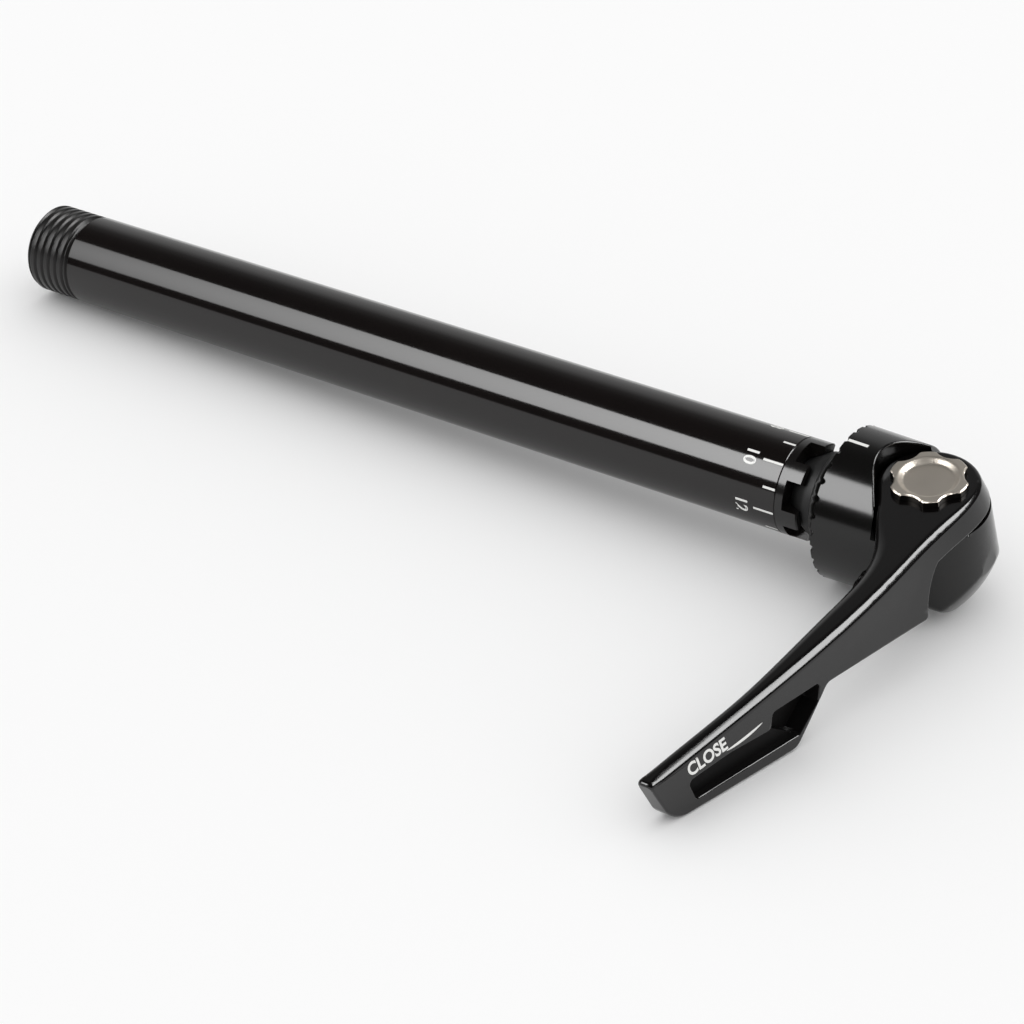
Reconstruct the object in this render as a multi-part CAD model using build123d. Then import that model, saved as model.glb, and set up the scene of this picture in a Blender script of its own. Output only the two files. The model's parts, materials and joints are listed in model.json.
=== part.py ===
from build123d import *
import math
import os

# Quick-release thru axle for a 15 mm by 100 mm wheel hub, in millimetres and degrees.
# It is drawn with the axle on the X axis, its head at +X, the cam shaft along Z and the closed lever to -Y.
# The finished pieces are then turned together, to lie on the ground as the axle lies on a table.

# Axle tube
axle_dia = 15.0
axle_length = 149.0
thread_dia = 14.9
thread_length = 9.0
relief_width = 0.8
relief_depth = 0.5
tube_chamfer = 0.8
tube_bore_dia = 10.6
nut_pocket_dia = 10.0
nut_pocket_depth = 8.0
nut_flange = 3.5

# Retaining clip and tension nut at the threaded end
clip_thickness = 0.7
clip_inset = 0.5
clip_bite = 0.4
clip_width = 1.1
clip_gap_angle = 60.0
nut_clip_gap = 0.15
nut_socket = 2.5
nut_socket_depth = 2.5
nut_web = 0.5
washer_thickness = 0.8
seal_wire = 1.0
seal_inset = 1.6
seal_bevel = 0.3

# Drawbar and its guides
drawbar_dia = 5.0
guide_length = 6.0
guide_reach = (55.0, 100.0)

# Expander collet and cone
collet_length = 3.8
collet_band = 1.3
collet_slots = 6
collet_slot_angle = 36.0
spigot_length = 6.0
spring_seat = 0.8
spring_bore_dia = 8.8
spring_dia = 7.0
spring_depth = 0.6
spring_width = 0.9
spring_turns = 3.0
cone_small_dia = 9.8
neck_dia = 13.0
neck_length = 4.8
cone_gap = 0.15
cone_overrun = 0.5
cone_spigot_dia = 11.0
cone_spigot_length = 4.4
wiper_wire = 1.0
wiper_depth = 0.3
wiper_setback = 2.7

# Twelve-position index
index_reach = 20.0
index_ring_length = 4.0
index_steps = 12
index_circle_dia = 7.8
index_groove_width = 1.4
index_groove_depth = 0.5
index_notch_width = 1.2
index_notch_depth = 0.4
hub_length = 7.5
hub_gap = 0.4
plate_thickness = 0.3
click_count = 2
click_rise = 0.3
click_base_dia = 0.9
click_tip_dia = 0.5
hub_pin_dia = 1.5

# Cam housing
rim_dia = 23.4
shoulder_dia = 22.4
pin_setback = 13.35
neck_recess_dia = 15.8
neck_recess_depth = 0.8
nose_radius = 9.2
nose_draft = 6.5
nose_reach = 9.4
dome_radius = 16.9
nose_taper_start = 2.2
nose_flat_dia = 8.5
shoulder_round = 1.0
nose_round = 1.6
flute_count = 28
flute_dia = 1.1
flute_offset = 0.12
deck_height = 4.2
ear_swing_gap = 0.4
deck_edge_round = 0.3
deck_back_edge = 3.4

# Cam shaft and its bushes
cam_throw = 0.65
cam_dia = 7.2
upper_journal_dia = 8.8
lower_journal_dia = 5.6
shaft_foot = 8.4
foot_gap = 0.2
bush_wall = 0.8
bush_flange_dia = 15.2
bush_flange = 0.35
star_dia = 11.7
star_waist_dia = 10.0
star_lobes = 6
star_flute_radius = 3.2
star_corner_round = 0.55
star_top = 9.56
star_seat = 6.9
star_edge = 0.2
dish_top_dia = 9.4
dish_floor_dia = 7.0
dish_depth = 0.8
foot_bore_dia = 9.6
foot_washer_dia = 8.6
foot_washer = 0.7
screw_dia = 2.5
screw_length = 4.0
screw_head_dia = 5.2
screw_head_height = 1.6
screw_socket = 2.0
screw_socket_depth = 1.0

# Drawbar eye round the cam
eye_gap = 0.25
eye_liner = 0.6
eye_wall = 1.4
eye_thickness = 5.0
slot_gap = 0.3

# Lever, measured from the cam shaft
ear_radius = 7.3
ear_under_gap = 0.05
lever_top = 8.5
lever_reach = 71.2
wall_root = (6.61, 7.4)
wall_bend = (5.65, 22.4)
wall_grip = (3.13, 42.8)
wall_end_offset = -2.2
root_lean = 20.5
bend_lean = 12.0
grip_lean = 4.0
end_lean = 2.0
inner_neck = (-2.83, 10.1)
neck_lean = 14.0
inner_bend = (0.3, 18.0)
inner_mid = (0.48, 30.0)
inner_grip = (-0.9, 48.0)
inner_end_offset = -4.65
ear_outer_angle = 8.0
ear_inner_angle = 214.0
fork_reach = 11.2
fork_drop_reach = 16.5
fork_bulge = (13.9, 2.85)
fork_low = -1.25
waist_reach = 37.4
waist_low = 2.0
heel_reach = 44.6
heel_low = -4.45
toe_setback = 3.2
toe_low = -0.35
belly_bulge = 0.1
fork_root_round = 1.0
fork_round = 0.8
waist_round = 1.5
heel_round = 2.0
toe_round = 5.0
tip_round = 0.9
lever_edge_round = 0.8
lower_edge_round = 0.4
pocket_depth = 1.3
pocket_deep = 2.6
pocket_corner = 0.7
pocket_mouth_round = 0.2
pocket_root = (38.9, 3.2)
pocket_step = (48.2, 4.5)
pocket_shelf = (48.9, 2.0)
pocket_brow_height = 3.6
pocket_far_setback = 6.7
pocket_far_height = 4.3
pocket_toe_setback = 7.6
pocket_toe_height = 0.55
pocket_heel = (44.1, -2.5)
pocket_knee = (39.8, 0.6)

# Fits
press_gap = 0.02
slip_gap = 0.05
run_gap = 0.1

axle_r = axle_dia / 2
thread_r = thread_dia / 2
bore_r = tube_bore_dia / 2
rod_r = drawbar_dia / 2
neck_r = neck_dia / 2
rim_r = rim_dia / 2
tail_x = -axle_length
nut_seat_x = tail_x + nut_pocket_depth
clamp_x = collet_length + neck_length
pin_x = clamp_x + pin_setback
eye_x = pin_x + cam_throw
cam_r = cam_dia / 2
eye_half = eye_thickness / 2
slot_half = eye_half + slot_gap
ear_under = deck_height + bush_flange + ear_under_gap
lever_base = heel_low - heel_round
wall_end = (wall_end_offset, lever_reach)
inner_end = (inner_end_offset, lever_reach)
toe_reach = lever_reach - toe_setback
pocket_far = (lever_reach - pocket_far_setback, pocket_far_height)
pocket_toe = (lever_reach - pocket_toe_setback, pocket_toe_height)
pocket_brow = ((pocket_shelf[0] + pocket_far[0]) / 2, pocket_brow_height)
far = 2 * axle_length


def turned(points):
    """Solid of revolution about X from (along, radius) points."""
    return revolve(make_face(Plane.XZ * Polyline(*points, close=True)), Axis.X)


def rod(radius, start, end):
    """Round bar on the X axis between two places."""
    return turned([(start, 0), (start, radius), (end, radius), (end, 0)])


def sleeve(outer, inner, start, end):
    """Plain ring on the X axis between two places."""
    return turned([(start, inner), (start, outer), (end, outer), (end, inner)])


def post(radius, low, high, x=pin_x):
    """Round bar along Z at the cam shaft."""
    return Pos(x, 0, low) * extrude(Circle(radius), high - low)


def prism(face, low, high):
    """Plan face carried to the cam shaft and raised between two heights."""
    return Pos(pin_x, 0, low) * extrude(face, high - low)


def axle_tube():
    """Hollow axle with its thread blank, nut pocket, clip groove and bore."""
    pocket_r = nut_pocket_dia / 2
    relief_x = tail_x + thread_length
    clip_x = tail_x + clip_inset
    groove_r = pocket_r + clip_bite + slip_gap
    flange_r = rod_r + nut_web + run_gap
    flange_x = nut_seat_x + nut_flange
    return turned([
        (tail_x, thread_r - tube_chamfer),
        (tail_x + tube_chamfer, thread_r),
        (relief_x, thread_r),
        (relief_x, axle_r - relief_depth),
        (relief_x + relief_width, axle_r - relief_depth),
        (relief_x + relief_width, axle_r),
        (0, axle_r),
        (0, bore_r),
        (flange_x, bore_r),
        (flange_x, flange_r),
        (nut_seat_x, flange_r),
        (nut_seat_x, pocket_r),
        (clip_x + clip_thickness + slip_gap, pocket_r),
        (clip_x + clip_thickness + slip_gap, groove_r),
        (clip_x, groove_r),
        (clip_x, pocket_r),
        (tail_x, pocket_r),
    ])


def nut_clip():
    """Open ring in the groove at the threaded end."""
    outer = nut_pocket_dia / 2 + clip_bite
    start = tail_x + clip_inset
    ring = sleeve(outer, outer - clip_bite - clip_width, start, start + clip_thickness)
    half = math.radians(clip_gap_angle / 2)
    gap = Polygon((0, 0), (far * math.cos(half), far * math.sin(half)),
                  (far * math.cos(half), -far * math.sin(half)), align=None)
    return ring - extrude(Plane.YZ.offset(start) * gap, clip_thickness)


def thrust_washer():
    """Washer under the tension nut."""
    outer = nut_pocket_dia / 2 - run_gap
    return sleeve(outer, rod_r + run_gap, nut_seat_x - washer_thickness, nut_seat_x)


def nut_ends():
    """Outer and inner face of the tension nut."""
    outer_x = tail_x + clip_inset + clip_thickness + slip_gap + nut_clip_gap
    return outer_x, nut_seat_x - washer_thickness


def tension_nut():
    """Nut on the drawbar with a hexagon socket and a seal groove."""
    start, end = nut_ends()
    outer = nut_pocket_dia / 2 - run_gap
    groove_r = outer - seal_wire + run_gap
    seal_x = end - seal_inset
    nut = turned([
        (start, 0),
        (start, outer),
        (seal_x - seal_wire / 2, outer),
        (seal_x - seal_wire / 2, groove_r),
        (seal_x + seal_wire / 2, groove_r),
        (seal_x + seal_wire / 2, outer),
        (end, outer),
        (end, rod_r + press_gap),
        (start + nut_socket_depth + nut_web, rod_r + press_gap),
        (start + nut_socket_depth + nut_web, 0),
    ])
    socket = RegularPolygon(nut_socket / 2, 6, major_radius=False)
    return nut - extrude(Plane.YZ.offset(start) * socket, nut_socket_depth)


def seal_ring(middle, inner, width):
    """Rubber ring of square section with bevelled corners."""
    start = middle - width / 2
    end = middle + width / 2
    outer = inner + width
    return turned([
        (start, inner + seal_bevel),
        (start, outer - seal_bevel),
        (start + seal_bevel, outer),
        (end - seal_bevel, outer),
        (end, outer - seal_bevel),
        (end, inner + seal_bevel),
        (end - seal_bevel, inner),
        (start + seal_bevel, inner),
    ])


def nut_seal():
    """Rubber ring round the tension nut."""
    end = nut_ends()[1]
    return seal_ring(end - seal_inset, nut_pocket_dia / 2 - seal_wire, seal_wire - slip_gap)


def guide_bushes():
    """Two plastic bushes that centre the drawbar."""
    bushes = [sleeve(bore_r - press_gap, rod_r + run_gap, -reach - guide_length, -reach) for reach in guide_reach]
    return Compound(bushes)


def expander_collet():
    """Slotted ring that spreads in the fork end, with its spigot in the tube."""
    cone_x = collet_band + run_gap
    slope = (neck_dia - cone_small_dia) / 2 / (collet_length + cone_overrun - cone_x)
    mouth_r = cone_small_dia / 2 + slope * (collet_length - cone_x) + cone_gap
    collet = turned([
        (-spigot_length, rod_r + run_gap),
        (-spigot_length, bore_r - press_gap),
        (0, bore_r - press_gap),
        (0, axle_r),
        (collet_length, axle_r),
        (collet_length, mouth_r),
        (cone_x, cone_small_dia / 2 + cone_gap),
        (cone_x, spring_bore_dia / 2),
        (spring_seat - spigot_length, spring_bore_dia / 2),
        (spring_seat - spigot_length, rod_r + run_gap),
    ])
    half = math.radians(collet_slot_angle / 2)
    wedge = Polygon((0, 0), (axle_dia * math.cos(half), axle_dia * math.sin(half)),
                    (axle_dia * math.cos(half), -axle_dia * math.sin(half)), align=None)
    slot = extrude(Plane.YZ.offset(collet_band) * wedge, collet_length)
    for number in range(collet_slots):
        collet -= Rot((number + 0.5) * 360 / collet_slots, 0, 0) * slot
    return collet


def expander_cone():
    """Taper, neck and spigot that carry the housing on the drawbar side."""
    cone_x = collet_band + run_gap
    inner = rod_r + run_gap
    wiper_x = clamp_x - wiper_setback
    groove_r = neck_r - wiper_depth
    spigot_r = cone_spigot_dia / 2
    return turned([
        (cone_x, inner),
        (cone_x, cone_small_dia / 2),
        (collet_length + cone_overrun, neck_r),
        (wiper_x - wiper_wire / 2, neck_r),
        (wiper_x - wiper_wire / 2, groove_r),
        (wiper_x + wiper_wire / 2, groove_r),
        (wiper_x + wiper_wire / 2, neck_r),
        (clamp_x + neck_recess_depth, neck_r),
        (clamp_x + neck_recess_depth, spigot_r),
        (clamp_x + cone_spigot_length, spigot_r),
        (clamp_x + cone_spigot_length, inner),
    ])


def neck_wiper():
    """Rubber ring in the groove of the neck."""
    return seal_ring(clamp_x - wiper_setback, neck_r - wiper_depth + press_gap, wiper_wire - 2 * press_gap)


def return_spring():
    """Flat-wire coil that lifts the head off the collet when the lever opens."""
    start = spring_seat - spigot_length + spring_width / 2 + slip_gap
    end = collet_band + run_gap - spring_width / 2 - slip_gap
    height = end - start
    coil = Helix(height / spring_turns, height, spring_dia / 2)
    section = Plane(coil @ 0, x_dir=(1, 0, 0), z_dir=coil % 0) * Rectangle(spring_depth, spring_width)
    return Pos(start, 0, 0) * Rot(0, 90, 0) * sweep(section, coil, is_frenet=True)


def index_ring():
    """Ring in the tube with a track and twelve notches on its head side."""
    end = -index_reach
    ring = sleeve(bore_r - press_gap, rod_r + run_gap, end - index_ring_length, end)
    track_r = index_circle_dia / 2
    ring -= sleeve(track_r + index_groove_width / 2, track_r - index_groove_width / 2,
                   end - index_groove_depth, end)
    floor = end - index_groove_depth
    notch = Pos(floor - index_notch_depth / 2, 0, track_r)
    notch *= Box(index_notch_depth, index_notch_width, index_groove_width)
    for number in range(index_steps):
        ring -= Rot(number * 360 / index_steps, 0, 0) * notch
    return ring


def hub_start():
    """Face of the index hub that carries the click plate."""
    return plate_thickness + hub_gap - index_reach


def index_hub():
    """Collar on the drawbar behind the click plate."""
    start = hub_start()
    hub = sleeve(bore_r - run_gap, rod_r + press_gap, start, start + hub_length)
    return hub - hub_pin_hole(start)


def hub_pin_hole(start):
    """Cross hole for the pin through hub and drawbar."""
    return Pos(start + hub_length / 2, 0, 0) * Rot(90, 0, 0) * Cylinder(hub_pin_dia / 2 + press_gap, 2 * bore_r)


def hub_pin():
    """Cross pin that locks the hub on the drawbar."""
    length = 2 * (bore_r - run_gap - slip_gap)
    return Pos(hub_start() + hub_length / 2, 0, 0) * Rot(90, 0, 0) * Cylinder(hub_pin_dia / 2, length)


def click_plate():
    """Spring plate with two bumps that ride in the index track."""
    start = hub_start()
    plate = sleeve(bore_r - 2 * run_gap, rod_r + run_gap, start - plate_thickness, start)
    bump = Pos(start - plate_thickness, 0, index_circle_dia / 2) * Rot(0, -90, 0)
    bump *= Cone(click_base_dia / 2, click_tip_dia / 2, hub_gap + click_rise,
                 align=(Align.CENTER, Align.CENTER, Align.MIN))
    for number in range(click_count):
        plate += Rot(number * 360 / click_count, 0, 0) * bump
    return plate


def stadium(radius):
    """Plan outline round the cam, lengthened across the axle by its throw."""
    return SlotCenterToCenter(2 * cam_throw, 2 * radius, rotation=90)


def drawbar():
    """Pull rod from the tension nut to the eye round the cam."""
    start = nut_ends()[0] + nut_socket_depth + nut_web + run_gap
    hole_r = cam_r + eye_gap + eye_liner
    bar = rod(rod_r, start, eye_x)
    bar += Pos(cam_throw, 0, 0) * prism(stadium(hole_r + eye_wall), -eye_half, eye_half)
    bar -= Pos(cam_throw, 0, 0) * prism(stadium(hole_r), -eye_thickness, eye_thickness)
    return bar - hub_pin_hole(hub_start())


def eye_bush():
    """Liner in the eye of the drawbar."""
    outer = stadium(cam_r + eye_gap + eye_liner - press_gap)
    ring = outer - stadium(cam_r + eye_gap)
    return Pos(cam_throw, 0, 0) * prism(ring, -eye_half, eye_half)


def nose_plan(height):
    """Outline of the housing at a height, with drafted flanks round the nose."""
    spread = -height * math.tan(math.radians(nose_draft))
    side_x = pin_x - nose_taper_start
    block = Pos(side_x / 2, 0) * Rectangle(side_x, 2 * (rim_r + run_gap + spread))
    return Pos(0, 0, height) * make_hull((block + Pos(pin_x, 0) * Circle(nose_radius + spread)).edges())


def housing_barrel():
    """Turned barrel with its domed end, narrowed to the nose in plan."""
    shoulder_r = shoulder_dia / 2
    flat_r = nose_flat_dia / 2
    nose_x = pin_x + nose_reach
    dome_x = nose_x - math.sqrt(dome_radius ** 2 - flat_r ** 2)
    shoulder_x = dome_x + math.sqrt(dome_radius ** 2 - shoulder_r ** 2)
    middle_r = (shoulder_r + flat_r) / 2
    side = Polyline((clamp_x, 0), (clamp_x, rim_r), (shoulder_x, shoulder_r))
    middle = (dome_x + math.sqrt(dome_radius ** 2 - middle_r ** 2), middle_r)
    dome = ThreePointArc((shoulder_x, shoulder_r), middle, (nose_x, flat_r))
    back = Polyline((nose_x, flat_r), (nose_x, 0), (clamp_x, 0))
    barrel = Rot(180, 0, 0) * revolve(make_face(Plane.XZ * (side + dome + back)), Axis.X)
    shoulder = barrel.edges().filter_by(GeomType.CIRCLE).sort_by(lambda edge: abs(edge.center().X - shoulder_x))[0]
    barrel = fillet(shoulder, shoulder_round)
    barrel &= loft([nose_plan(-rim_r), nose_plan(rim_r)], ruled=True)
    lower = [edge for edge in barrel.edges() if pin_x + flat_r < edge.center().X < nose_x - slip_gap]
    return fillet([edge for edge in lower if edge.center().Z < -flat_r], nose_round)


def deck_plan(height):
    """Room for the ear and neck of the lever at a height, open to the head and the back."""
    swing_r = ear_edge(height) + ear_swing_gap
    neck_x, neck_y = leaning(inner_neck, -neck_lean, height)
    neck_x -= ear_swing_gap
    touch = math.degrees(math.atan2(neck_y, neck_x) - math.acos(swing_r / math.hypot(neck_x, neck_y)))
    turn_x, turn_y = ear_point(touch, swing_r)
    head_x, head_y = ear_heading(touch)
    back = 180 - math.degrees(math.acos(deck_back_edge / swing_r))
    back_x, back_y = ear_point(back, swing_r)
    wall = CenterArc((0, 0), swing_r, back, touch + 360 - back)
    wide = 2 * rim_dia
    rest = Polyline((turn_x, turn_y), (turn_x + wide * head_x, turn_y + wide * head_y), (wide, -wide),
                    (wide, wide), (back_x, wide), (back_x, back_y))
    return Pos(pin_x, 0, height) * make_face(wall + rest)


def deck_edges(body):
    """Upper edges of the wall round the ear, without its upright corners."""
    edges = [edge for edge in body.edges() if edge.bounding_box().min.Z > lever_top - slip_gap]
    sloping = [edge for edge in edges if edge.bounding_box().size.Z > slip_gap]
    return [edge for edge in sloping if edge.bounding_box().size.Y > slip_gap]


def cam_housing():
    """Barrel with the lever deck, cam slot, bores and scalloped rim."""
    body = housing_barrel()
    body -= loft([deck_plan(deck_height), deck_plan(lever_top)], ruled=True)
    body -= extrude(deck_plan(lever_top), rim_dia)
    body = fillet(deck_edges(body), deck_edge_round)
    slot = stadium(cam_r + eye_gap + eye_liner + eye_wall + slot_gap)
    travel = 2 * cam_throw + slot_gap
    slot = slot + Pos(-travel, 0) * slot + Pos(-travel / 2, 0) * Rectangle(travel, slot.bounding_box().size.Y)
    body -= Pos(cam_throw, 0, 0) * prism(slot, -slot_half, slot_half)
    body -= rod(neck_recess_dia / 2, clamp_x, clamp_x + neck_recess_depth)
    body -= rod(cone_spigot_dia / 2 + press_gap, clamp_x, clamp_x + cone_spigot_length + slip_gap)
    body -= rod(rod_r + 2 * run_gap, clamp_x, eye_x)
    body -= post(upper_journal_dia / 2 + slip_gap + bush_wall + press_gap, 0, rim_dia)
    body -= post(lower_journal_dia / 2 + slip_gap + bush_wall + press_gap, -rim_dia, 0)
    body -= post(foot_bore_dia / 2, -rim_dia, foot_gap - shaft_foot)
    flute = Rot(0, 45, 0) * Cylinder(flute_dia / 2, rim_dia / 2)
    flute = Pos(clamp_x - flute_offset, 0, rim_r + flute_offset) * flute
    for number in range(flute_count):
        body -= Rot(number * 360 / flute_count, 0, 0) * flute
    return body


def upper_bush():
    """Flanged bush under the ear of the lever."""
    inner = upper_journal_dia / 2 + slip_gap
    bush = post(inner + bush_wall, slot_half, deck_height)
    bush += post(bush_flange_dia / 2, deck_height, deck_height + bush_flange)
    return bush - post(inner, 0, rim_dia)


def lower_bush():
    """Plain bush at the foot of the cam shaft."""
    inner = lower_journal_dia / 2 + slip_gap
    low = foot_gap - shaft_foot
    return post(inner + bush_wall, low, -slot_half) - post(inner, -rim_dia, 0)


def star_outline(gap=0):
    """Six rounded lobes with hollow flanks between them, grown by a gap."""
    star = Circle(star_dia / 2 + gap)
    flute = Pos(star_waist_dia / 2 + star_flute_radius, 0) * Circle(star_flute_radius - gap)
    for number in range(star_lobes):
        star -= Rot(0, 0, (number + 0.5) * 360 / star_lobes) * flute
    return fillet(star.vertices(), star_corner_round + gap)


def cam_shaft():
    """Stepped shaft with the eccentric cam and the dished star head."""
    head = prism(star_outline(), star_seat, star_top)
    head = chamfer(head.edges().group_by(Axis.Z)[-1], star_edge)
    dish = Pos(pin_x, 0, star_top - dish_depth / 2) * Cone(dish_floor_dia / 2, dish_top_dia / 2, dish_depth)
    shaft = head - dish
    shaft += post(upper_journal_dia / 2, slot_half, star_seat)
    shaft += post(cam_r, -slot_half, slot_half, eye_x)
    shaft += post(lower_journal_dia / 2, -shaft_foot, -slot_half)
    return shaft - post(screw_dia / 2 + press_gap, -shaft_foot, screw_length + run_gap - shaft_foot)


def foot_ring():
    """Washer that keeps the shaft in the housing."""
    low = -shaft_foot - foot_washer
    return post(foot_washer_dia / 2, low, -shaft_foot) - post(screw_dia / 2 + run_gap, low, -shaft_foot)


def foot_screw():
    """Screw with a hexagon socket under the shaft."""
    seat = -shaft_foot - foot_washer
    screw = post(screw_head_dia / 2, seat - screw_head_height, seat)
    screw += post(screw_dia / 2, seat, screw_length - shaft_foot)
    socket = RegularPolygon(screw_socket / 2, 6, major_radius=False)
    return screw - prism(socket, seat - screw_head_height, seat - screw_head_height + screw_socket_depth)


def leaning(place, lean, height):
    """Plan point of a lever wall at a height, from its place at the top and its lean outwards."""
    return place[0] + (lever_top - height) * math.tan(math.radians(lean)), -place[1]


def ear_edge(height):
    """Radius of the flared ear at a height."""
    return leaning((ear_radius, 0), root_lean, height)[0]


def ear_point(angle, radius):
    """Point round the cam shaft."""
    return radius * math.cos(math.radians(angle)), radius * math.sin(math.radians(angle))


def ear_heading(angle):
    """Direction along the ear's edge, anticlockwise."""
    return -math.sin(math.radians(angle)), math.cos(math.radians(angle))


def outer_edge(height):
    """Outer wall of the lever at a height, from the tip to the ear."""
    end = leaning(wall_end, end_lean, height)
    grip = leaning(wall_grip, grip_lean, height)
    points = [end, grip, leaning(wall_bend, bend_lean, height), leaning(wall_root, root_lean, height),
              ear_point(ear_outer_angle, ear_edge(height))]
    lead = (grip[0] - end[0], grip[1] - end[1])
    return Spline(*points, tangents=(lead, ear_heading(ear_outer_angle)))


def inner_edge(height):
    """Inner wall of the lever at a height, from the ear to the tip."""
    grip = leaning(inner_grip, 0, height)
    end = leaning(inner_end, 0, height)
    points = [ear_point(ear_inner_angle, ear_edge(height)), leaning(inner_neck, -neck_lean, height),
              leaning(inner_bend, 0, height), leaning(inner_mid, 0, height), grip, end]
    lead = (end[0] - grip[0], end[1] - grip[1])
    return Spline(*points, tangents=(ear_heading(ear_inner_angle), lead))


def lever_plan(height):
    """Outline of ear and arm at a height."""
    outer = outer_edge(height)
    inner = inner_edge(height)
    ear = CenterArc((0, 0), ear_edge(height), ear_outer_angle, ear_inner_angle - ear_outer_angle)
    face = make_face(outer + ear + inner + Line(inner @ 1, outer @ 0))
    return Pos(pin_x, 0, height) * fillet(face.vertices().group_by(Axis.Y)[0], tip_round)


def lever_side():
    """Outline of the lever seen from the head end, below its top face."""
    fork = ThreePointArc((-fork_reach, ear_under), (-fork_bulge[0], fork_bulge[1]), (-fork_drop_reach, fork_low))
    belly_mid = (-(heel_reach + toe_reach) / 2, (heel_low + toe_low) / 2 - belly_bulge)
    belly = ThreePointArc((-heel_reach, heel_low), belly_mid, (-toe_reach, toe_low))
    top = 2 * lever_top
    under = Polyline((-fork_drop_reach, fork_low), (-waist_reach, waist_low), (-heel_reach, heel_low))
    toe = Polyline((-toe_reach, toe_low), (-lever_reach, lever_top), (-lever_reach, top), (far, top),
                   (far, ear_under), (-fork_reach, ear_under))
    face = make_face(fork + under + belly + toe)
    face = fillet(corner(face, fork_reach, ear_under), fork_root_round)
    face = fillet(corner(face, fork_drop_reach, fork_low), fork_round)
    face = fillet(corner(face, waist_reach, waist_low), waist_round)
    face = fillet(corner(face, heel_reach, heel_low), heel_round)
    return fillet(corner(face, toe_reach, toe_low), toe_round)


def corner(face, reach, height):
    """Corner of a side outline nearest a place on the lever."""
    return face.vertices().sort_by_distance((-reach, height, 0))[0]


def beside(face, x):
    """Side face set up across the lever at an offset from the cam shaft."""
    return Plane.YZ.offset(pin_x + x) * face


def pocket_face(deep):
    """Finger pocket in the outer wall, or only its deeper corner."""
    shallow = [] if deep else [pocket_brow, pocket_far, pocket_toe]
    corners = [pocket_root, pocket_step, pocket_shelf, *shallow, pocket_heel, pocket_knee]
    outline = Polyline(*[(-reach, height) for reach, height in corners], close=True)
    return fillet(make_face(outline).vertices(), pocket_corner)


def pocket(blank, deep, depth):
    """Tool that sinks the pocket into the curved outer wall by an even depth."""
    tool = extrude(beside(pocket_face(deep), -axle_dia), 2 * axle_dia)
    return tool - Pos(-depth, 0, 0) * blank


def lower_edges(body):
    """Lower edges of the lever's walls, which only one wall shares."""
    limit = lever_top - lever_edge_round - slip_gap
    walls = [face for face in body.faces() if limit < face.bounding_box().max.Z < lever_top - slip_gap]
    edges = [edge for wall in walls for edge in wall.edges() if edge.bounding_box().max.Z < limit]
    return [edge for edge in edges if sum(edge.is_same(other) for other in edges) == 1]


def pocket_mouth(body):
    """Edges of the pocket in the outer wall."""
    return [edge for face in body.faces() for wire in face.inner_wires() for edge in wire.edges()]


def lever():
    """Cam lever with flared ear, grip blade and finger pocket."""
    blank = loft([lever_plan(lever_base), lever_plan(lever_top)], ruled=True)
    body = fillet(blank.edges().group_by(Axis.Z)[-1], lever_edge_round)
    body &= extrude(beside(lever_side(), -axle_length), 2 * axle_length)
    body = fillet(lower_edges(body), lower_edge_round)
    body -= pocket(blank, False, pocket_depth)
    body -= pocket(blank, True, pocket_deep)
    body = fillet(pocket_mouth(body), pocket_mouth_round)
    body -= post(upper_journal_dia / 2 + press_gap, 0, star_seat)
    return body - prism(star_outline(slip_gap), star_seat, star_top)


def lying_down():
    """Turn that lays tail, rim and lever belly on the ground."""
    tail_touch = tail_x + tube_chamfer
    pitch = math.atan2(rim_r - thread_r, clamp_x - tail_touch)
    belly_x = pin_x + wall_grip[0]
    drop = rim_r - math.tan(pitch) * (clamp_x - belly_x)
    rolls = []
    for reach, low in ((heel_reach, heel_low), (toe_reach, toe_low)):
        span = math.hypot(reach, low)
        rolls.append(math.asin(drop / span) - math.atan2(-low, reach))
    return Rot(0, -math.degrees(pitch), 0) * Rot(math.degrees(min(rolls)), 0, 0)


nodes = {
    "axle_tube": axle_tube(),
    "nut_clip": nut_clip(),
    "thrust_washer": thrust_washer(),
    "guide_bushes": guide_bushes(),
    "expander_collet": expander_collet(),
    "index_ring": index_ring(),
    "drawbar": drawbar(),
    "eye_bush": eye_bush(),
    "tension_nut": tension_nut(),
    "nut_seal": nut_seal(),
    "index_hub": index_hub(),
    "hub_pin": hub_pin(),
    "click_plate": click_plate(),
    "expander_cone": expander_cone(),
    "neck_wiper": neck_wiper(),
    "return_spring": return_spring(),
    "cam_housing": cam_housing(),
    "upper_bush": upper_bush(),
    "lower_bush": lower_bush(),
    "lever": lever(),
    "cam_shaft": cam_shaft(),
    "foot_ring": foot_ring(),
    "foot_screw": foot_screw(),
}

turn = lying_down()
laid = {name: turn * solid for name, solid in nodes.items()}
box = Compound(list(laid.values())).bounding_box()
stand = Pos(-box.center().X, -box.center().Y, -box.min.Z)
os.makedirs("parts", exist_ok=True)
for name, solid in laid.items():
    export_step(stand * solid, f"parts/{name}.step")
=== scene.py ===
import bpy
import json
import math
from mathutils import Matrix, Vector


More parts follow.
